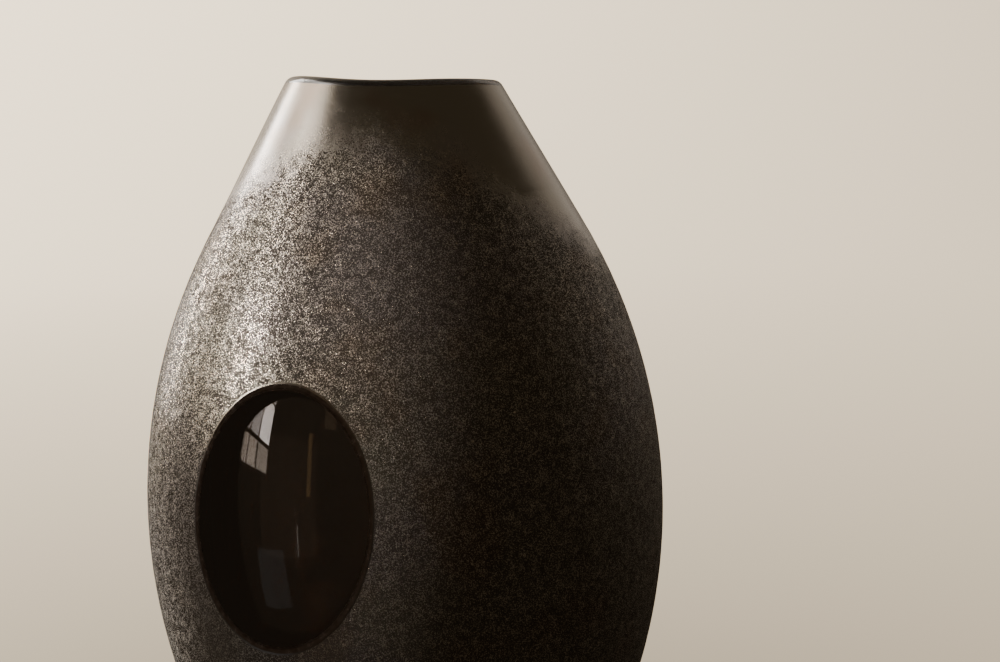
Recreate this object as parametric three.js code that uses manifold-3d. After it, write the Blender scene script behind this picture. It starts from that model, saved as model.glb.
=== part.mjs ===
// Hand blown art glass vase. A thick bubble of amber-brown glass carries a thin metal skin, and a
// crust of fused metal grains lies over the skin on the belly. One oval window is a polished facet,
// ground through both layers into the glass.
//
// Millimetres, +Z up. The origin is the centre of the flat base, and the window faces -Y.

import * as THREE from 'three';
import { mergeVertices } from 'three/addons/utils/BufferGeometryUtils.js';
import Module from 'manifold-3d';

const wasm = await Module();
wasm.setup();

// Outline, seen from the side: one arc from the base over the belly, then a straight neck
const HEIGHT = 300;
const BELLY_RADIUS = 100;
const BELLY_LEVEL = 137;
const OUTLINE_RADIUS = 216.4;
const NECK_ANGLE = THREE.MathUtils.degToRad(29.3); // from the axis

// Wall, lip and base
const BELLY_WALL = 9; // from the outline to the cavity
const LIP_RADIUS = 4; // the lip is a half round, twice this thick
const FLOOR_LEVEL = 20;
const FLOOR_FILLET = 35;
const FOOT_FILLET = 3;

// Layers over the glass
const CRUST_THICKNESS = 0.7;
const SKIN_THICKNESS = 0.5;
const GAP = 0.3; // between the solids of fused layers
const LAYERS_BOTTOM = 5; // both layers stop above the ground foot
const CRUST_TOP = 262;
const SKIN_RISE = 6; // above the crust, the skin comes out to the outline over this height
const SKIN_TOP = HEIGHT - LIP_RADIUS * (1 - Math.sin(NECK_ANGLE)) - GAP; // under the lip's rounding

// Window: a facet ground nearly flat, a little crowned across and straight up and down
const WINDOW_LEVEL = 148.5;
const WINDOW_REACH = 94.5; // from the axis to the middle of the facet
const WINDOW_TILT = THREE.MathUtils.degToRad(3.1); // upwards
const WINDOW_CROWN = 400; // radius
const WINDOW_TURN = THREE.MathUtils.degToRad(9.2); // of the crown, from level
const LAP_WIDTH = 120; // of the block that grinds the window
const LAP_LENGTH = 160;
const LAP_DEPTH = 30;

// Facets
const FACETS_AROUND = 60;
const OUTLINE_STEPS = 14;
const FOOT_STEPS = 3;
const LIP_STEPS = 6;
const FLOOR_STEPS = 6;
const LAP_STEPS = 24;

const ARC_CENTRE = new THREE.Vector2(BELLY_RADIUS - OUTLINE_RADIUS, BELLY_LEVEL);
const CAVITY_ARC_RADIUS = OUTLINE_RADIUS - BELLY_WALL;
const DOWN = -Math.PI / 2;

// Profile point at a level, on the surface that lies `depth` under the outline
function under(depth, level) {
  const arcRadius = OUTLINE_RADIUS - depth;
  const neckStart = arcPoint(ARC_CENTRE, arcRadius, NECK_ANGLE);
  if (level > neckStart.y) {
    return new THREE.Vector2(neckStart.x - (level - neckStart.y) * Math.tan(NECK_ANGLE), level);
  }
  return new THREE.Vector2(ARC_CENTRE.x + Math.sqrt(arcRadius ** 2 - (level - BELLY_LEVEL) ** 2), level);
}

// Profile points from one level to another, `depth` under the outline
function outline(depth, from, to, steps) {
  return spread(from, to, steps).map((level) => under(depth, level));
}

// Angles run from the radial direction towards +Z
function arcPoint(centre, radius, angle) {
  return new THREE.Vector2(Math.cos(angle), Math.sin(angle)).multiplyScalar(radius).add(centre);
}

function arc(centre, radius, from, to, steps) {
  return spread(from, to, steps).map((angle) => arcPoint(centre, radius, angle));
}

function spread(from, to, steps) {
  return Array.from({ length: steps + 1 }, (_, k) => from + ((to - from) * k) / steps);
}

// Fillet between the plane at a level and the inside of an arc about ARC_CENTRE
function filletOn(level, fillet, arcRadius) {
  const rise = level + fillet - BELLY_LEVEL;
  const centre = new THREE.Vector2(
    ARC_CENTRE.x + Math.sqrt((arcRadius - fillet) ** 2 - rise ** 2),
    level + fillet,
  );
  const end = Math.atan2(centre.y - ARC_CENTRE.y, centre.x - ARC_CENTRE.x);
  return { centre, end };
}

// Foot, rebate for the layers, lip, inner neck, cavity and rounded floor
function glassProfile() {
  const underSkin = SKIN_THICKNESS + GAP;
  const underCrust = CRUST_THICKNESS + GAP + underSkin;
  const foot = filletOn(0, FOOT_FILLET, OUTLINE_RADIUS);
  const floor = filletOn(FLOOR_LEVEL, FLOOR_FILLET, CAVITY_ARC_RADIUS);
  const lip = under(LIP_RADIUS, HEIGHT - LIP_RADIUS);
  const toLip = lip.clone().sub(ARC_CENTRE);
  // The inner neck is the straight line that touches both the lip and the cavity's arc
  const innerNeck = toLip.angle() - Math.acos((CAVITY_ARC_RADIUS + LIP_RADIUS) / toLip.length());
  return [
    new THREE.Vector2(0, 0),
    ...arc(foot.centre, FOOT_FILLET, DOWN, foot.end, FOOT_STEPS),
    under(0, LAYERS_BOTTOM - GAP),
    ...outline(underCrust, LAYERS_BOTTOM - GAP, CRUST_TOP, OUTLINE_STEPS),
    ...outline(underSkin, CRUST_TOP + SKIN_RISE, SKIN_TOP + GAP, 1),
    ...arc(lip, LIP_RADIUS, NECK_ANGLE, innerNeck + Math.PI, LIP_STEPS),
    ...arc(ARC_CENTRE, CAVITY_ARC_RADIUS, innerNeck, floor.end, OUTLINE_STEPS),
    ...arc(floor.centre, FLOOR_FILLET, floor.end, DOWN, FLOOR_STEPS).slice(1),
    new THREE.Vector2(0, FLOOR_LEVEL),
  ];
}

// Film over the glass: under the crust on the belly, out at the outline on the neck
function skinProfile() {
  const underCrust = CRUST_THICKNESS + GAP;
  const outside = [
    ...outline(underCrust, LAYERS_BOTTOM, CRUST_TOP, OUTLINE_STEPS),
    ...outline(0, CRUST_TOP + SKIN_RISE, SKIN_TOP, 1),
  ];
  const inside = [
    ...outline(SKIN_THICKNESS, SKIN_TOP, CRUST_TOP + SKIN_RISE, 1),
    ...outline(underCrust + SKIN_THICKNESS, CRUST_TOP, LAYERS_BOTTOM, OUTLINE_STEPS),
  ];
  return [...outside, ...inside, outside[0]];
}

function crustProfile() {
  const outside = outline(0, LAYERS_BOTTOM, CRUST_TOP, OUTLINE_STEPS);
  const inside = outline(CRUST_THICKNESS, CRUST_TOP, LAYERS_BOTTOM, OUTLINE_STEPS);
  return [...outside, ...inside, outside[0]];
}

// The lap that grinds the window: a block with a shallow trough along the side that meets the glass
function lap() {
  const reach = Math.asin(LAP_WIDTH / 2 / WINDOW_CROWN);
  const middle = Math.PI / 2;
  const crownCentre = new THREE.Vector2(0, -WINDOW_CROWN);
  const section = new THREE.Shape([
    ...arc(crownCentre, WINDOW_CROWN, middle + reach, middle - reach, LAP_STEPS),
    new THREE.Vector2(LAP_WIDTH / 2, LAP_DEPTH),
    new THREE.Vector2(-LAP_WIDTH / 2, LAP_DEPTH),
  ]);
  const block = new THREE.ExtrudeGeometry(section, { depth: LAP_LENGTH, bevelEnabled: false });
  block.translate(0, 0, -LAP_LENGTH / 2);
  block.rotateY(WINDOW_TURN);
  block.rotateX(Math.PI - WINDOW_TILT);
  block.translate(0, -WINDOW_REACH, WINDOW_LEVEL);
  return block;
}

function toSolid(geometry) {
  geometry.deleteAttribute('normal');
  geometry.deleteAttribute('uv');
  const merged = mergeVertices(geometry);
  const corners = merged.index.array;
  const triangles = [];
  for (let k = 0; k < corners.length; k += 3) {
    const [a, b, c] = corners.slice(k, k + 3);
    const hasArea = a !== b && b !== c && c !== a;
    if (hasArea) triangles.push(a, b, c);
  }
  return new wasm.Manifold(
    new wasm.Mesh({
      numProp: 3,
      vertProperties: merged.attributes.position.array,
      triVerts: new Uint32Array(triangles),
    }),
  );
}

function toGeometry(solid) {
  const mesh = solid.getMesh();
  const geometry = new THREE.BufferGeometry();
  geometry.setAttribute('position', new THREE.BufferAttribute(mesh.vertProperties, 3));
  geometry.setIndex(new THREE.BufferAttribute(mesh.triVerts, 1));
  geometry.computeVertexNormals();
  return geometry;
}

// One fused layer of the vase: a turned profile with the window ground through it
function layer(name, profile, finish) {
  const turned = new THREE.LatheGeometry(profile, FACETS_AROUND);
  turned.rotateX(Math.PI / 2);
  const ground = toSolid(turned).subtract(toSolid(lap()));
  const mesh = new THREE.Mesh(toGeometry(ground), new THREE.MeshStandardMaterial(finish));
  mesh.name = name;
  return mesh;
}

const vase = new THREE.Group();
vase.add(
  layer('glass_body', glassProfile(), { color: 0x1c0d06, roughness: 0.03, metalness: 0 }),
  layer('metal_skin', skinProfile(), { color: 0x5a534b, roughness: 0.35, metalness: 0.9 }),
  layer('grain_crust', crustProfile(), { color: 0x37312b, roughness: 0.5, metalness: 0.85 }),
);

export default vase;
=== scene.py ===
import math

import bpy
import numpy as np
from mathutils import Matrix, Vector, noise


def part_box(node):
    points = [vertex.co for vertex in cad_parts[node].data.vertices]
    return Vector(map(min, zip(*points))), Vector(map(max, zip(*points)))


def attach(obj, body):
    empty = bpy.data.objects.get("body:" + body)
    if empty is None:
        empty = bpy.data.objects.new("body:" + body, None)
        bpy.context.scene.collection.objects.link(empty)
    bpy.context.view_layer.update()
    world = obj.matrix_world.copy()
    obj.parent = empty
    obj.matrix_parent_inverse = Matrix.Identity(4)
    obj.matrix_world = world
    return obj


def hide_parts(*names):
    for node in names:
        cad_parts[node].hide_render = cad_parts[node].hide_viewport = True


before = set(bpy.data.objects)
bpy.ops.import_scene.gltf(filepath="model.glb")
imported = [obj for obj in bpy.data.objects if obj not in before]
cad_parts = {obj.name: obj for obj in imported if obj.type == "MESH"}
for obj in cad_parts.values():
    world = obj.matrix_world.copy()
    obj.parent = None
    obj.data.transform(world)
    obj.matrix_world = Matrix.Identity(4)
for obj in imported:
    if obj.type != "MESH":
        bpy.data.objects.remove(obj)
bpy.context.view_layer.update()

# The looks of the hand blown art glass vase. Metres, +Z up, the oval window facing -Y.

_, glass_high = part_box("glass_body")
crust_low, crust_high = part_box("grain_crust")
_, skin_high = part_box("metal_skin")

# ---------------------------------------------------------------- outline, as the CAD model has it

MM = 0.001
HEIGHT = glass_high.z
BELLY_RADIUS = 100 * MM
BELLY_LEVEL = 137 * MM
OUTLINE_RADIUS = 216.4 * MM
NECK_ANGLE = math.radians(29.3)
CAVITY_RADIUS = OUTLINE_RADIUS - 9 * MM
LIP_RADIUS = 4 * MM
FLOOR_LEVEL = 20 * MM
FLOOR_FILLET = 35 * MM
FOOT_FILLET = 3 * MM
LAYERS_BOTTOM = crust_low.z
CRUST_TOP = crust_high.z
SKIN_TOP = skin_high.z

CRUST_DEPTH = 0.3 * MM  # the crust's thickness over the skin
SKIN_DEPTH = 0.12 * MM  # the skin's thickness over the glass
FUSED = 0.04 * MM  # each layer bites this far into the one below
CRUST_FADE = 7 * MM  # height over which the crust thins out into the skin
BASE_RING = 0.35  # the ring of points on the flat base, as a share of the foot's radius

ARC_R = BELLY_RADIUS - OUTLINE_RADIUS  # the outline arc's centre, from the axis
ARC_CENTRE = np.array([ARC_R, BELLY_LEVEL])

# The window is a facet ground nearly flat, a little crowned across and straight up and down
WINDOW_LEVEL = 148.5 * MM
WINDOW_REACH = 94.5 * MM
WINDOW_TILT = math.radians(3.1)
WINDOW_CROWN = 400 * MM
WINDOW_TURN = math.radians(9.2)
WINDOW_MIDDLE = Vector((0, -WINDOW_REACH, WINDOW_LEVEL))
WINDOW_OUT = Vector((0, -math.cos(WINDOW_TILT), math.sin(WINDOW_TILT)))
WINDOW_UP = Vector((0, math.sin(WINDOW_TILT), math.cos(WINDOW_TILT)))
WINDOW_ACROSS = Vector((1, 0, 0)) * math.cos(WINDOW_TURN) + WINDOW_UP * math.sin(WINDOW_TURN)
LAP_WIDTH = 120 * MM  # of the block that grinds the window
LAP_LENGTH = 160 * MM
LAP_DEPTH = 30 * MM

# How finely each outline, and each turn round the axis, is divided
GLASS_STEPS = 100
LIP_STEPS = 20
CAVITY_STEPS = 80
FLOOR_STEPS = 16
FOOT_STEPS = 8
SKIN_STEPS = 110
SKIN_INNER_STEPS = 60
CRUST_STEPS = 150
CRUST_INNER_STEPS = 30
LAP_STEPS = 120
CRISP_ANGLE = math.radians(40)  # faces that meet at more than this show a crisp edge
AROUND = 288
CRUST_AROUND = 360

# ---------------------------------------------------------------- camera

CAMERA_SIDE = math.radians(28.36)  # how far round to the window's right the camera stands
CAMERA_DISTANCE = 0.8155
CAMERA_LEVEL = 0.300
CAMERA_PITCH = math.radians(-6.82)
CAMERA_YAW = math.radians(2.68)
CAMERA_ROLL = math.radians(-1.45)
SENSOR_WIDTH = 23.6  # millimetres, as the lens
LENS = 50.0

TO_CAMERA = Vector((math.sin(CAMERA_SIDE), -math.cos(CAMERA_SIDE), 0))
TO_LEFT = Vector((-math.cos(CAMERA_SIDE), -math.sin(CAMERA_SIDE), 0))
UP = Vector((0, 0, 1))


def make_camera():
    data = bpy.data.cameras.new("camera")
    data.sensor_width = SENSOR_WIDTH
    data.lens = LENS
    data.clip_start = 0.01
    camera = bpy.data.objects.new("camera", data)
    bpy.context.scene.collection.objects.link(camera)
    forward = -TO_CAMERA * math.cos(CAMERA_YAW) - TO_LEFT * math.sin(CAMERA_YAW)
    forward = forward * math.cos(CAMERA_PITCH) + UP * math.sin(CAMERA_PITCH)
    right = forward.cross(UP).normalized()
    upward = right.cross(forward)
    turned_right = right * math.cos(CAMERA_ROLL) + upward * math.sin(CAMERA_ROLL)
    turned_up = upward * math.cos(CAMERA_ROLL) - right * math.sin(CAMERA_ROLL)
    matrix = camera.matrix_world.to_3x3()
    matrix.col[0], matrix.col[1], matrix.col[2] = turned_right, turned_up, -forward
    camera.matrix_world = matrix.to_4x4()
    camera.location = TO_CAMERA * CAMERA_DISTANCE + UP * CAMERA_LEVEL
    bpy.context.scene.camera = camera


make_camera()

# ---------------------------------------------------------------- profiles


def under(depth, level):
    """Radius from the axis, at each level, of the surface `depth` under the outline."""
    level = np.asarray(level, float)
    arc_radius = OUTLINE_RADIUS - np.asarray(depth, float)
    start = BELLY_LEVEL + arc_radius * math.sin(NECK_ANGLE)
    on_arc = ARC_R + np.sqrt(np.maximum(arc_radius**2 - (level - BELLY_LEVEL) ** 2, 0))
    on_neck = ARC_R + arc_radius * math.cos(NECK_ANGLE) - (level - start) * math.tan(NECK_ANGLE)
    return np.where(level > start, on_neck, on_arc)


def outline(depth, low, high, steps):
    """Profile points (radius, level). The depth is a number or a function of the level."""
    levels = np.linspace(low, high, steps + 1)
    depths = depth(levels) if callable(depth) else depth
    return np.column_stack([under(depths, levels), levels])


def arc(centre, radius, start, end, steps):
    angles = np.linspace(start, end, steps + 1)
    return centre + radius * np.column_stack([np.cos(angles), np.sin(angles)])


def smooth_step(low, high, value):
    t = np.clip((value - low) / (high - low), 0, 1)
    return t * t * (3 - 2 * t)


def fillet_on(level, fillet, arc_radius):
    """Centre and end angle of a fillet between a level plane and the inside of the outline's arc."""
    rise = level + fillet - BELLY_LEVEL
    centre = np.array([ARC_R + math.sqrt((arc_radius - fillet) ** 2 - rise**2), level + fillet])
    return centre, math.atan2(*(centre - ARC_CENTRE)[::-1])


def skin_depth(level):
    """The skin lies under the crust on the belly and comes out to the outline on the neck."""
    return CRUST_DEPTH * smooth_step(CRUST_TOP - 0.5 * CRUST_FADE, CRUST_TOP - CRUST_FADE, level)


def crust_depth(level):
    """The crust stands at the outline, and its top edge sinks into the skin."""
    return 0.5 * SKIN_DEPTH * smooth_step(CRUST_TOP - CRUST_FADE, CRUST_TOP, level)


def glass_profile():
    foot, foot_end = fillet_on(0, FOOT_FILLET, OUTLINE_RADIUS)
    floor, floor_end = fillet_on(FLOOR_LEVEL, FLOOR_FILLET, CAVITY_RADIUS)
    lip_level = HEIGHT - LIP_RADIUS
    lip = np.array([float(under(LIP_RADIUS, lip_level)), lip_level])
    to_lip = lip - ARC_CENTRE
    inner_neck = math.atan2(to_lip[1], to_lip[0])
    inner_neck -= math.acos((CAVITY_RADIUS + LIP_RADIUS) / np.hypot(*to_lip))
    down = -math.pi / 2
    return np.vstack([
        [(0, 0)],
        [(BASE_RING * float(under(0, 0)), 0)],
        arc(foot, FOOT_FILLET, down, foot_end, FOOT_STEPS),
        outline(0, LAYERS_BOTTOM - FUSED, LAYERS_BOTTOM - FUSED, 0),
        outline(lambda z: skin_depth(z) + SKIN_DEPTH, LAYERS_BOTTOM, SKIN_TOP, GLASS_STEPS),
        arc(lip, LIP_RADIUS, NECK_ANGLE, inner_neck + math.pi, LIP_STEPS),
        arc(ARC_CENTRE, CAVITY_RADIUS, inner_neck, floor_end, CAVITY_STEPS),
        arc(floor, FLOOR_FILLET, floor_end, down, FLOOR_STEPS)[1:],
        [(0, FLOOR_LEVEL)],
    ])


def skin_profile():
    outside = outline(skin_depth, LAYERS_BOTTOM, SKIN_TOP, SKIN_STEPS)
    inside = outline(lambda z: skin_depth(z) + SKIN_DEPTH + FUSED, SKIN_TOP, LAYERS_BOTTOM, SKIN_INNER_STEPS)
    return np.vstack([outside, inside, outside[:1]])


def crust_profile():
    outside = outline(crust_depth, LAYERS_BOTTOM, CRUST_TOP, CRUST_STEPS)
    inside = outline(CRUST_DEPTH + FUSED, CRUST_TOP, LAYERS_BOTTOM, CRUST_INNER_STEPS)
    return np.vstack([outside, inside, outside[:1]])


# ---------------------------------------------------------------- the hand in the making

# Waves of the lip: height, how many go round, phase
LIP_WAVES = ((0.7 * MM, 1, -3.6), (0.45 * MM, 2, 0.6), (0.2 * MM, 3, 2.0))
STILL_LEVEL = 0.8 * HEIGHT  # the lip's waves fade out down to here
CORNER_HEIGHT = 2.3 * MM  # the lip's high corner
CORNER_BEARING = 4.2
CORNER_SHARPNESS = 4
# Waves of the body: share of the radius, how many go round, phase, turn per metre of height
BODY_WAVES = ((0.0012, 2, 1, 9), (0.0008, 3, 0, -25))
LUMPS = ((1.0, 160), (0.6, 380))  # of the crust: share of the height, noise cells per metre
LUMP_HEIGHT = 0.05 * MM
LUMPS_BEGIN = 4 * MM  # they grow over this height above the crust's lower edge
LUMPS_END = 20 * MM  # and fade out over this height below its upper edge


def hand_made(points):
    """Moves turned points the small way that hand blowing does: an uneven lip and a soft belly."""
    around = np.arctan2(points[:, 1], points[:, 0])
    level = points[:, 2]
    rise = CORNER_HEIGHT * np.maximum(np.cos(around - CORNER_BEARING), 0) ** CORNER_SHARPNESS
    rise += sum(height * np.cos(count * around + phase) for height, count, phase in LIP_WAVES)
    swell = 1 + sum(
        share * np.cos(count * around + phase + turn * level) for share, count, phase, turn in BODY_WAVES
    )
    moved = points.copy()
    moved[:, :2] *= swell[:, None]
    moved[:, 2] += rise * smooth_step(STILL_LEVEL, HEIGHT, level)
    return moved


def lumps(points, normals):
    """Pushes points in and out along their normals, as uneven grains do."""
    heights = np.array([
        sum(share * noise.noise(Vector(p) * scale) for share, scale in LUMPS) for p in points
    ])
    return points + normals * (heights * LUMP_HEIGHT)[:, None]


# ---------------------------------------------------------------- meshes

# Places in each piece's list of materials. Blown faces take the first one.
GROUND_SLOT = 1
UNDERSIDE_SLOT = 2


def turned_mesh(name, profile, around, by_hand=True):
    """Closed mesh of a profile turned about Z. The profile starts and ends on the axis, or is a loop."""
    on_axis = profile[0][0] == 0
    rings = profile[1:-1] if on_axis else profile[:-1]
    angles = np.linspace(0, 2 * math.pi, around, endpoint=False)
    circle = np.column_stack([np.cos(angles), np.sin(angles)])
    points = np.concatenate([
        np.column_stack([circle * radius, np.full(around, level)]) for radius, level in rings
    ])
    here = np.arange(around)
    there = (here + 1) % around
    faces = []
    last = len(rings) - 1 if on_axis else len(rings)
    for ring in range(last):
        low, high = ring * around, ((ring + 1) % len(rings)) * around
        faces += np.column_stack([low + here, low + there, high + there, high + here]).tolist()
    if on_axis:
        points = np.vstack([points, [(0, 0, profile[0][1]), (0, 0, profile[-1][1])]])
        bottom, top = len(points) - 2, len(points) - 1
        end = (len(rings) - 1) * around
        faces += np.column_stack([np.full(around, bottom), there, here]).tolist()
        faces += np.column_stack([np.full(around, top), end + here, end + there]).tolist()
    if by_hand:
        points = hand_made(points)
    mesh = bpy.data.meshes.new(name)
    mesh.from_pydata(points.tolist(), [], faces)
    mesh.validate()
    return mesh


def add_object(name, mesh):
    piece = bpy.data.objects.new(name, mesh)
    bpy.context.scene.collection.objects.link(piece)
    return piece


def make_lap():
    """The lap that grinds the window: a block with a shallow trough on the side that meets the glass."""
    reach = math.asin(0.5 * LAP_WIDTH / WINDOW_CROWN)
    middle = 0.5 * math.pi
    trough = arc(np.array([0, -WINDOW_CROWN]), WINDOW_CROWN, middle + reach, middle - reach, LAP_STEPS)
    section = np.vstack([trough, [(0.5 * LAP_WIDTH, LAP_DEPTH), (-0.5 * LAP_WIDTH, LAP_DEPTH)]])
    along = WINDOW_ACROSS.cross(WINDOW_OUT).normalized()
    points = [
        WINDOW_MIDDLE + WINDOW_ACROSS * across + WINDOW_OUT * out + along * end
        for end in (-0.5 * LAP_LENGTH, 0.5 * LAP_LENGTH)
        for across, out in section
    ]
    count = len(section)
    sides = [(k, (k + 1) % count, (k + 1) % count + count, k + count) for k in range(count)]
    ends = [tuple(range(count))[::-1], tuple(range(count, 2 * count))]
    mesh = bpy.data.meshes.new("lap")
    mesh.from_pydata(points, [], sides + ends)
    mesh.validate()
    return add_object("lap", mesh)


def grind(piece, lap):
    """Cuts the window out of a piece. The ground faces take the piece's second material."""
    cut = piece.modifiers.new("window", "BOOLEAN")
    cut.object = lap
    cut.operation = "DIFFERENCE"
    cut.solver = "EXACT"
    bpy.context.view_layer.update()
    evaluated = piece.evaluated_get(bpy.context.evaluated_depsgraph_get())
    mesh = bpy.data.meshes.new_from_object(evaluated)
    piece.modifiers.clear()
    old = piece.data
    piece.data = mesh
    bpy.data.meshes.remove(old)
    mesh.name = piece.name


def shade(piece):
    """Smooth all over, but crisp at corners and where ground faces meet blown ones."""
    mesh = piece.data
    mesh.polygons.foreach_set("use_smooth", [True] * len(mesh.polygons))
    mesh.set_sharp_from_angle(angle=CRISP_ANGLE)
    kinds = {}
    for polygon in mesh.polygons:
        for key in polygon.edge_keys:
            kinds.setdefault(key, set()).add(polygon.material_index)
    for edge in mesh.edges:
        if len(kinds.get(edge.key, ())) > 1:
            edge.use_edge_sharp = True
    mesh.update()


def read_vectors(collection, attribute):
    values = np.empty(len(collection) * 3)
    collection.foreach_get(attribute, values)
    return values.reshape(-1, 3)


def roughen(piece, low, high):
    """Lumps on both sides of a layer, fading out towards its lowest and highest levels."""
    vertices = piece.data.vertices
    points = read_vectors(vertices, "co")
    level = points[:, 2]
    fade = smooth_step(low, low + LUMPS_BEGIN, level) * smooth_step(high, high - LUMPS_END, level)
    points += (lumps(points, read_vectors(vertices, "normal")) - points) * fade[:, None]
    vertices.foreach_set("co", points.ravel())
    piece.data.update()


def mark_underside(skin):
    """Gives the skin's inner faces the third material."""
    for polygon in skin.data.polygons:
        outwards = Vector((polygon.center.x, polygon.center.y, 0))
        if polygon.normal.dot(outwards) < 0:
            polygon.material_index = UNDERSIDE_SLOT


# ---------------------------------------------------------------- material helpers


class Nodes:
    """A node tree, with short calls for the nodes used here."""

    def __init__(self, tree, coordinates):
        self.tree = tree
        self.place = tree.nodes.new("ShaderNodeTexCoord").outputs[coordinates]

    def link(self, source, target):
        self.tree.links.new(source, target)

    def feed(self, target, value):
        if isinstance(value, bpy.types.NodeSocket):
            self.link(value, target)
        else:
            target.default_value = value

    def math(self, operation, a, b=0.0):
        node = self.tree.nodes.new("ShaderNodeMath")
        node.operation = operation
        self.feed(node.inputs[0], a)
        self.feed(node.inputs[1], b)
        return node.outputs[0]

    def ramp(self, value, low, high, start=0.0, end=1.0):
        """Goes smoothly from `start` to `end` as the value goes from `low` to `high`."""
        node = self.tree.nodes.new("ShaderNodeMapRange")
        node.interpolation_type = "SMOOTHSTEP"
        for socket, given in zip(node.inputs[:5], (value, low, high, start, end)):
            self.feed(socket, given)
        return node.outputs[0]

    def blend(self, amount, a, b):
        """Mixes two numbers."""
        node = self.tree.nodes.new("ShaderNodeMix")
        for socket, given in zip(node.inputs[:1] + node.inputs[2:4], (amount, a, b)):
            self.feed(socket, given)
        return node.outputs[0]

    def mix(self, amount, a, b):
        """Mixes two colours."""
        node = self.tree.nodes.new("ShaderNodeMix")
        node.data_type = "RGBA"
        colour_sockets = (node.inputs[0], node.inputs[6], node.inputs[7])
        for socket, given in zip(colour_sockets, (amount, a, b)):
            self.feed(socket, given)
        return node.outputs[2]

    def vector_math(self, operation, a, b):
        node = self.tree.nodes.new("ShaderNodeVectorMath")
        node.operation = operation
        self.feed(node.inputs[0], a)
        self.feed(node.inputs[1], b)
        return node.outputs

    def dot(self, place, way):
        return self.vector_math("DOT_PRODUCT", place, way)["Value"]

    def noise(self, scale, detail=2.0, roughness=0.5):
        node = self.tree.nodes.new("ShaderNodeTexNoise")
        self.link(self.place, node.inputs["Vector"])
        node.inputs["Scale"].default_value = scale
        node.inputs["Detail"].default_value = detail
        node.inputs["Roughness"].default_value = roughness
        return node.outputs[0]

    def cells(self, scale):
        """Distance from the middle of the nearest of many random cells."""
        node = self.tree.nodes.new("ShaderNodeTexVoronoi")
        self.link(self.place, node.inputs["Vector"])
        node.inputs["Scale"].default_value = scale
        return node.outputs["Distance"]

    def bump(self, height, distance, strength, under=None):
        node = self.tree.nodes.new("ShaderNodeBump")
        self.feed(node.inputs["Strength"], strength)
        node.inputs["Distance"].default_value = distance
        self.link(height, node.inputs["Height"])
        if under is not None:
            self.link(under, node.inputs["Normal"])
        return node.outputs[0]


class Finish(Nodes):
    """A material's nodes, with its one shader."""

    def __init__(self, name):
        self.material = bpy.data.materials.new(name)
        self.material.use_nodes = True
        self.material.node_tree.nodes.clear()
        super().__init__(self.material.node_tree, "Object")
        self.output = self.tree.nodes.new("ShaderNodeOutputMaterial")
        self.shader = self.tree.nodes.new("ShaderNodeBsdfPrincipled")
        self.link(self.shader.outputs[0], self.output.inputs["Surface"])

    def set(self, name, value):
        self.feed(self.shader.inputs[name], value)


# ---------------------------------------------------------------- materials

# Colours of the metal: three tints that drift into each other, a painted glint for the highest grains and
# painted shade for the pits
OLIVE_BRONZE = (0.160, 0.143, 0.117, 1)
PLUM = (0.156, 0.136, 0.127, 1)
UMBER = (0.156, 0.125, 0.099, 1)
GLINT_PAINT_COLOUR = (0.62, 0.55, 0.45, 1)
PIT_SHADE_COLOUR = (0.022, 0.018, 0.014, 1)

# The skin's back, seen through the glass, and the layers where they are ground through
UNDERSIDE_TINTS = (0.22, 0.14, 0.095, 1), (0.29, 0.195, 0.14, 1)
GROUND_TINTS = (0.05, 0.04, 0.034, 1), (0.10, 0.08, 0.068, 1)

TO_THE_LEFT = (0.1, 0.6)  # sines of the angles between which the front gives way to the left side
GRAIN = 0.48 * MM  # a typical grain's width
GRAIN_DEPTH = 0.4 * MM
LEATHER = 0.05 * MM  # height of the smooth skin's fine leathery texture
POLISH = (0.24 * MM, 0.1 * MM)  # clearances between which the grains round the window are polished away

# Where the grains give way to the smooth neck: a level that rises and falls round the vase
GRAIN_LEVEL = 262 * MM
GRAIN_RISE_TWICE = 17 * MM  # higher by this in front and behind, lower at the sides
GRAIN_RISE_LEFT = 13 * MM  # higher by this on the left, lower on the right
RAGGED = 34 * MM  # height of the edge's tongues
GRAIN_FADE = 16 * MM  # the grains thin out this far above and below the edge

GLASS_IOR = 1.52
GLASS_TINT = (0.67, 0.48, 0.37, 1)
GLASS_DENSITY = 33
LIP_ROUGHNESS = 0.24
SATIN_LIP = (HEIGHT - 5 * MM, HEIGHT - 3 * MM)  # levels between which polished glass turns satin


def radius_of(nodes, front, side):
    squares = nodes.math("ADD", nodes.math("MULTIPLY", front, front), nodes.math("MULTIPLY", side, side))
    return nodes.math("SQRT", squares)


def bearing(nodes):
    """The cosine and sine of a point's angle round the vase, from the front towards the left."""
    front = nodes.dot(nodes.place, TO_CAMERA)
    side = nodes.dot(nodes.place, TO_LEFT)
    radius = radius_of(nodes, front, side)
    return nodes.math("DIVIDE", front, radius), nodes.math("DIVIDE", side, radius)


def grain_cover(nodes, front, side):
    """1 where the grains lie thick, 0 on the smooth neck, with a ragged edge between."""
    twice = nodes.math("SUBTRACT", nodes.math("MULTIPLY", front, front), nodes.math("MULTIPLY", side, side))
    rise = nodes.math("MULTIPLY", twice, GRAIN_RISE_TWICE)
    rise = nodes.math("ADD", rise, nodes.math("MULTIPLY", side, GRAIN_RISE_LEFT))
    ragged = nodes.math("SUBTRACT", nodes.noise(110, 5, 0.7), 0.5)
    rise = nodes.math("ADD", rise, nodes.math("MULTIPLY", ragged, RAGGED))
    edge_level = nodes.math("ADD", rise, GRAIN_LEVEL)
    above = nodes.math("SUBTRACT", nodes.dot(nodes.place, UP), edge_level)
    return nodes.ramp(above, GRAIN_FADE, -GRAIN_FADE)


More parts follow.
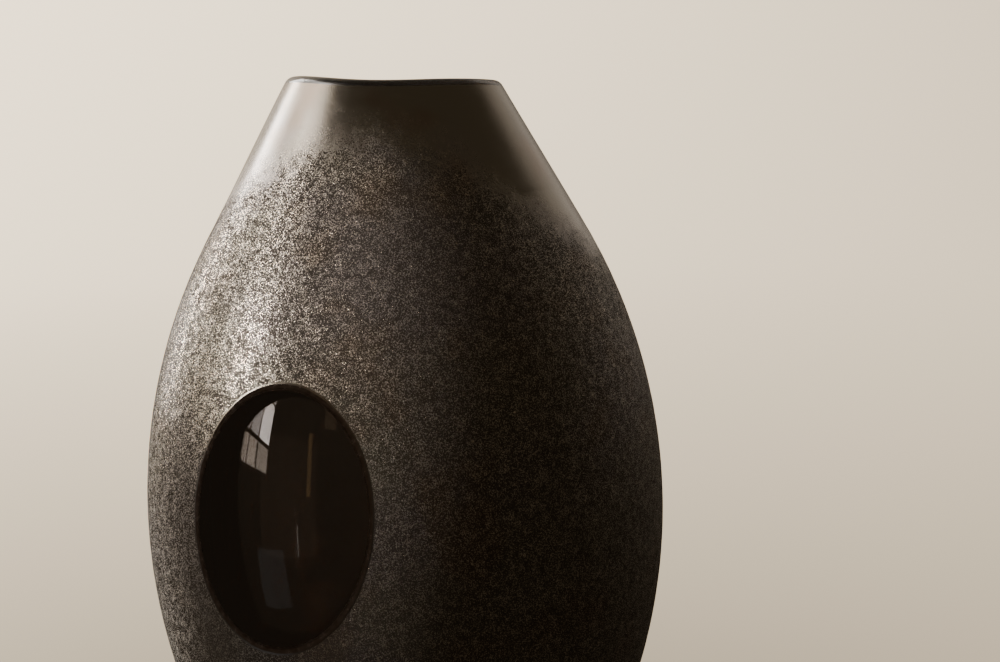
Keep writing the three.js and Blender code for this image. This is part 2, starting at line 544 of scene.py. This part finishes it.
def ground_clearance(nodes):
    """How far a point stands under the window's facet: 0 at the oval's edge, growing away from it."""
    from_middle = nodes.vector_math("SUBTRACT", nodes.place, WINDOW_MIDDLE)["Vector"]
    out = nodes.dot(from_middle, WINDOW_OUT)
    across = nodes.dot(from_middle, WINDOW_ACROSS)
    sag = nodes.math("MULTIPLY", nodes.math("MULTIPLY", across, across), 0.5 / WINDOW_CROWN)
    return nodes.math("MULTIPLY", nodes.math("ADD", sag, out), -1.0)


def grain_height(nodes):
    """Crumbs in loose clumps. The lowest places get painted shade as pits, and the highest ones a painted
    glint.
    """
    crumb = nodes.math("MULTIPLY", nodes.cells(1 / GRAIN), -0.3)
    clumps = nodes.math("MULTIPLY", nodes.noise(0.16 / GRAIN), 0.25)
    return nodes.math("ADD", nodes.math("ADD", nodes.noise(1 / GRAIN, 2, 0.75), crumb), clumps)


def drifting_tint(nodes):
    tint = nodes.mix(nodes.ramp(nodes.noise(14), 0.42, 0.6), OLIVE_BRONZE, PLUM)
    return nodes.mix(nodes.ramp(nodes.noise(31), 0.5, 0.66), tint, UMBER)


def paint_pit_shade(nodes, height, cover, grained, side):
    """Painted shade in the pits between grains, which lie closer and go blacker on the left, where the light
    falls. It thins out where the grains do.
    """
    thick = nodes.ramp(side, *TO_THE_LEFT, 0.50, 0.518)
    depth = nodes.math("SUBTRACT", nodes.ramp(cover, 0.0, 1.0, 0.26, thick), height)
    shaded_pits = nodes.math("MULTIPLY", nodes.ramp(depth, -0.01, 0.02), nodes.ramp(grained, 0.0, 0.35))
    return nodes.math("MULTIPLY", shaded_pits, nodes.ramp(side, *TO_THE_LEFT, 0.68, 1.0))


def make_metal():
    """Dark gunmetal: a satin film on the neck, fused grains below with painted shade in their pits and
    painted glints on their highest points.
    """
    nodes = Finish("granular_metal")
    front, side = bearing(nodes)
    cover = grain_cover(nodes, front, side)
    unpolished = nodes.ramp(ground_clearance(nodes), *POLISH, 1.0, 0.0)
    grained = nodes.math("MULTIPLY", cover, unpolished)
    height = grain_height(nodes)
    shaded_pits = paint_pit_shade(nodes, height, cover, grained, side)
    # Painted glint: the highest grains are coloured bright in place of the glints their facets catch
    painted_glint = nodes.math("MULTIPLY", nodes.ramp(height, 0.55, 0.67), grained)

    colour = nodes.mix(nodes.math("MULTIPLY", painted_glint, 0.85), drifting_tint(nodes), GLINT_PAINT_COLOUR)
    # Painted shade: the pits go black, with no metal and no gloss
    nodes.set("Base Color", nodes.mix(shaded_pits, colour, PIT_SHADE_COLOUR))
    nodes.set("Metallic", nodes.ramp(shaded_pits, 0.0, 1.0, 1.0, 0.0))
    nodes.set("Specular IOR Level", 0)
    satin = nodes.ramp(nodes.noise(60, 3, 0.6), 0.3, 0.7, 0.20, 0.27)
    grit = nodes.ramp(height, 0.55, 0.7, 0.40, 0.24)
    nodes.set("Roughness", nodes.blend(grained, satin, grit))

    leather = nodes.bump(nodes.noise(1700), LEATHER, nodes.ramp(side, 0.72, 0.45, 0.1, 1.0))
    relief = nodes.math("MULTIPLY", grained, nodes.ramp(side, *TO_THE_LEFT, 1.0, 0.12))
    nodes.set("Normal", nodes.bump(height, GRAIN_DEPTH, relief, leather))
    return nodes.material


def make_clouded_metal(name, tints, scale, detail, roughness):
    """Metal whose tint and gloss drift together, between two values each."""
    nodes = Finish(name)
    cloud = nodes.noise(scale, detail, 0.6)
    nodes.set("Base Color", nodes.mix(cloud, *tints))
    nodes.set("Metallic", 1)
    nodes.set("Roughness", nodes.ramp(cloud, 0.3, 0.7, *roughness))
    return nodes.material


def make_glass():
    """Dark amber-brown glass: clear where it is thin, nearly black where it is deep."""
    nodes = Finish("amber_brown_glass")
    nodes.set("Base Color", (1, 1, 1, 1))
    nodes.set("Transmission Weight", 1)
    nodes.set("IOR", GLASS_IOR)
    polished = nodes.ramp(nodes.noise(40, 3, 0.6), 0.3, 0.7, 0.0, 0.012)
    lip = nodes.ramp(nodes.dot(nodes.place, UP), *SATIN_LIP)
    nodes.set("Roughness", nodes.blend(lip, polished, LIP_ROUGHNESS))
    absorb = nodes.tree.nodes.new("ShaderNodeVolumeAbsorption")
    absorb.inputs["Color"].default_value = GLASS_TINT
    absorb.inputs["Density"].default_value = GLASS_DENSITY
    nodes.link(absorb.outputs[0], nodes.output.inputs["Volume"])
    return nodes.material


metal = make_metal()
underside = make_clouded_metal("skin_underside", UNDERSIDE_TINTS, 70, 4, (0.32, 0.45))
edge = make_clouded_metal("ground_edge", GROUND_TINTS, 500, 3, (0.16, 0.28))
glass = make_glass()

# ---------------------------------------------------------------- the three layers

lap = make_lap()
glass_vessel = add_object("glass_vessel", turned_mesh("glass_vessel", glass_profile(), AROUND))
satin_skin = add_object("satin_skin", turned_mesh("satin_skin", skin_profile(), AROUND))
grained_crust = add_object("grained_crust", turned_mesh("grained_crust", crust_profile(), CRUST_AROUND))
roughen(grained_crust, LAYERS_BOTTOM, CRUST_TOP)
mark_underside(satin_skin)

lap.data.materials.append(edge)
lap.data.materials.append(edge)
for polygon in lap.data.polygons:
    polygon.material_index = GROUND_SLOT

for piece, finishes in (
    (glass_vessel, (glass, glass)),
    (satin_skin, (metal, edge, underside)),
    (grained_crust, (metal, edge)),
):
    for finish in finishes:
        piece.data.materials.append(finish)
    grind(piece, lap)
    shade(piece)
bpy.data.objects.remove(lap)

for piece, node, slot in (
    (glass_vessel, "glass_body", "amber_brown_glass"),
    (satin_skin, "metal_skin", "satin_metal_skin"),
    (grained_crust, "grain_crust", "metal_grain_crust"),
):
    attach(piece, "root")
    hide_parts(node)

# ---------------------------------------------------------------- stage and light

SWEEP_FLAT = 2.4  # radius of the flat floor
SWEEP_CURVE = 1.2  # radius of the curve that takes it up into the wall
SWEEP_TOP = 5
SWEEP_STEPS = 24
SWEEP_AROUND = 128
FLOOR_RINGS = (0, 0.1, 0.6, 1.6, SWEEP_FLAT)
SWEEP_BASE = (0.02, 0.018, 0.015, 1)
SWEEP_GLOW = (1.0, 0.82, 0.58, 1)
PAINTED_SHADOW_REACH = 0.12  # of the painted soft shadow where the vase stands

# The room's light comes through a tall window, in a wall that faces the vase from this far round to
# the left. Distances in the wall's plane, from the wall's nearest point, are shares of its distance.
WINDOW_WALL = 110
WALL_DISTANCE = 2.6
COLUMNS = (-0.74, -0.445, -0.19, 0.07, 0.34)
ROWS = (0.12, 0.305, 0.62, 1.14)
BAR = 0.03
# Each row's colour and each pane's radiance, from the bottom row up
PANE_COLOURS = ((1, 0.88, 0.74), (1, 0.96, 0.92), (1, 0.94, 0.86))
PANES = ((3.4, 4.0, 4.0, 4.0), (66, 4.6, 4.8, 7.0), (10, 7.5, 7, 7))

# The rest of the room, as far off as the window wall: name, degrees left of the camera, degrees up,
# width, height, radiance, colour
ROOM = (
    ("thin_strip", 48, -13, 0.02, 0.45, 3, (1, 0.98, 0.95)),
    ("high_window", 97, 42, 0.11, 0.5, 9, (1, 0.98, 0.95)),
    ("dim_wall", 57, 0, 2.1, 1.75, 0.09, (1, 0.66, 0.42)),
    ("far_window", 134, 21, 0.5, 1.9, 24, (1, 0.95, 0.88)),
    ("far_right_wall", -140, 20, 1.6, 2.0, 0.5, (1, 0.9, 0.78)),
    ("low_wall", 138, -16, 1.8, 0.9, 0.9, (1, 0.93, 0.85)),
    ("wooden_post", 40, 11, 0.13, 0.9, 0.7, (1, 0.62, 0.25)),
    ("shelf", 26, 26, 0.35, 0.3, 0.35, (1, 0.72, 0.42)),
    ("floor_patch", 72, -26, 1.1, 0.9, 0.18, (0.85, 0.95, 1)),
)

# What lies beyond: a dim room in front and a pale wall behind, which brightens towards the left
ROOM_LOW = (0.055, 0.043, 0.031, 1)
ROOM_HIGH = (0.142, 0.115, 0.080, 1)
WALL_RIGHT = (0.25, 0.21, 0.17, 1)
WALL_LEFT = (1.2, 1.0, 0.76, 1)


def direction(left, up):
    """Unit vector from the vase, `left` degrees round from the camera and `up` degrees high."""
    left, up = math.radians(left), math.radians(up)
    level = TO_CAMERA * math.cos(left) + TO_LEFT * math.sin(left)
    return level * math.cos(up) + UP * math.sin(up)


def make_sweep():
    """Pale floor that curves up into a wall all round. Only the camera sees it."""
    floor = [(radius, 0) for radius in FLOOR_RINGS]
    curve = arc(np.array([SWEEP_FLAT, SWEEP_CURVE]), SWEEP_CURVE, -math.pi / 2, 0, SWEEP_STEPS)[1:]
    profile = np.vstack([floor, curve, [(SWEEP_FLAT + SWEEP_CURVE, SWEEP_TOP), (0, SWEEP_TOP)]])
    sweep = add_object("studio_sweep", turned_mesh("studio_sweep", profile, SWEEP_AROUND, by_hand=False))
    sweep.data.flip_normals()
    sweep.data.polygons.foreach_set("use_smooth", [True] * len(sweep.data.polygons))
    sweep.visible_glossy = sweep.visible_diffuse = False
    sweep.visible_transmission = sweep.visible_shadow = False
    sweep.data.materials.append(make_pale_sweep())


def make_pale_sweep():
    """Glows more with distance and up the wall, with painted light brighter towards the left and a painted
    shadow close to the vase.
    """
    nodes = Finish("pale_sweep")
    front, side = nodes.dot(nodes.place, TO_CAMERA), nodes.dot(nodes.place, TO_LEFT)
    reach = nodes.math("ADD", radius_of(nodes, front, side), nodes.dot(nodes.place, UP))
    painted_glow = nodes.math("MULTIPLY", nodes.math("POWER", reach, 0.42), 1.3)
    # Painted light: brighter towards the left, where the window's light falls
    painted_glow = nodes.math("MULTIPLY", painted_glow, nodes.math("ADD", nodes.math("MULTIPLY", side, 0.3), 1.0))
    # Painted shadow: ambient occlusion dims the glow close to the vase
    shade = nodes.tree.nodes.new("ShaderNodeAmbientOcclusion")
    shade.inputs["Distance"].default_value = PAINTED_SHADOW_REACH
    painted_glow = nodes.math("MULTIPLY", painted_glow, nodes.math("POWER", shade.outputs["AO"], 1.5))
    nodes.set("Base Color", SWEEP_BASE)
    nodes.set("Roughness", 0.9)
    nodes.set("Specular IOR Level", 0)
    nodes.set("Emission Color", SWEEP_GLOW)
    nodes.set("Emission Strength", painted_glow)
    return nodes.material


def panel(name, left, up, width, height, radiance, colour):
    """Soft rectangular light that faces the vase. The camera doesn't see it."""
    data = bpy.data.lights.new(name, "AREA")
    data.shape = "RECTANGLE"
    data.size = width
    data.size_y = height
    data.energy = radiance * math.pi * width * height
    data.color = colour
    light = bpy.data.objects.new(name, data)
    bpy.context.scene.collection.objects.link(light)
    light.location = UP * 0.5 * HEIGHT + direction(left, up) * WALL_DISTANCE
    light.rotation_euler = (-direction(left, up)).to_track_quat("-Z", "Y").to_euler()
    light.visible_camera = False
    return light


def make_window():
    """Panes with bars between them, the near one brightest."""
    out = direction(WINDOW_WALL, 0)
    across = out.cross(UP)
    for row, radiances in enumerate(PANES):
        low, high = ROWS[row] + 0.5 * BAR, ROWS[row + 1] - 0.5 * BAR
        for column, radiance in enumerate(radiances):
            near, far = COLUMNS[column] + 0.5 * BAR, COLUMNS[column + 1] - 0.5 * BAR
            width = (far - near) * WALL_DISTANCE
            height = (high - low) * WALL_DISTANCE
            pane = panel(f"pane_{row}_{column}", WINDOW_WALL, 0, width, height, radiance, PANE_COLOURS[row])
            pane.location += (across * 0.5 * (near + far) + UP * 0.5 * (low + high)) * WALL_DISTANCE


def make_world():
    """What the vase mirrors beyond the lights, with little light from below."""
    world = bpy.data.worlds.new("studio")
    bpy.context.scene.world = world
    world.use_nodes = True
    nodes = Nodes(world.node_tree, "Generated")
    up = nodes.dot(nodes.place, UP)
    left = nodes.dot(nodes.place, TO_LEFT)
    behind = nodes.ramp(nodes.dot(nodes.place, -TO_CAMERA), 0.35, 0.8)
    wall_amount = nodes.math("MULTIPLY", behind, nodes.ramp(up, -0.25, 0.1))
    wall = nodes.mix(nodes.ramp(left, -0.3, 0.5), WALL_RIGHT, WALL_LEFT)
    room = nodes.mix(nodes.ramp(up, -0.5, 0.7), ROOM_LOW, ROOM_HIGH)
    background = nodes.tree.nodes["Background"]
    nodes.link(nodes.mix(wall_amount, room, wall), background.inputs["Color"])


for light in ROOM:
    panel(*light)
make_sweep()
make_world()
make_window()
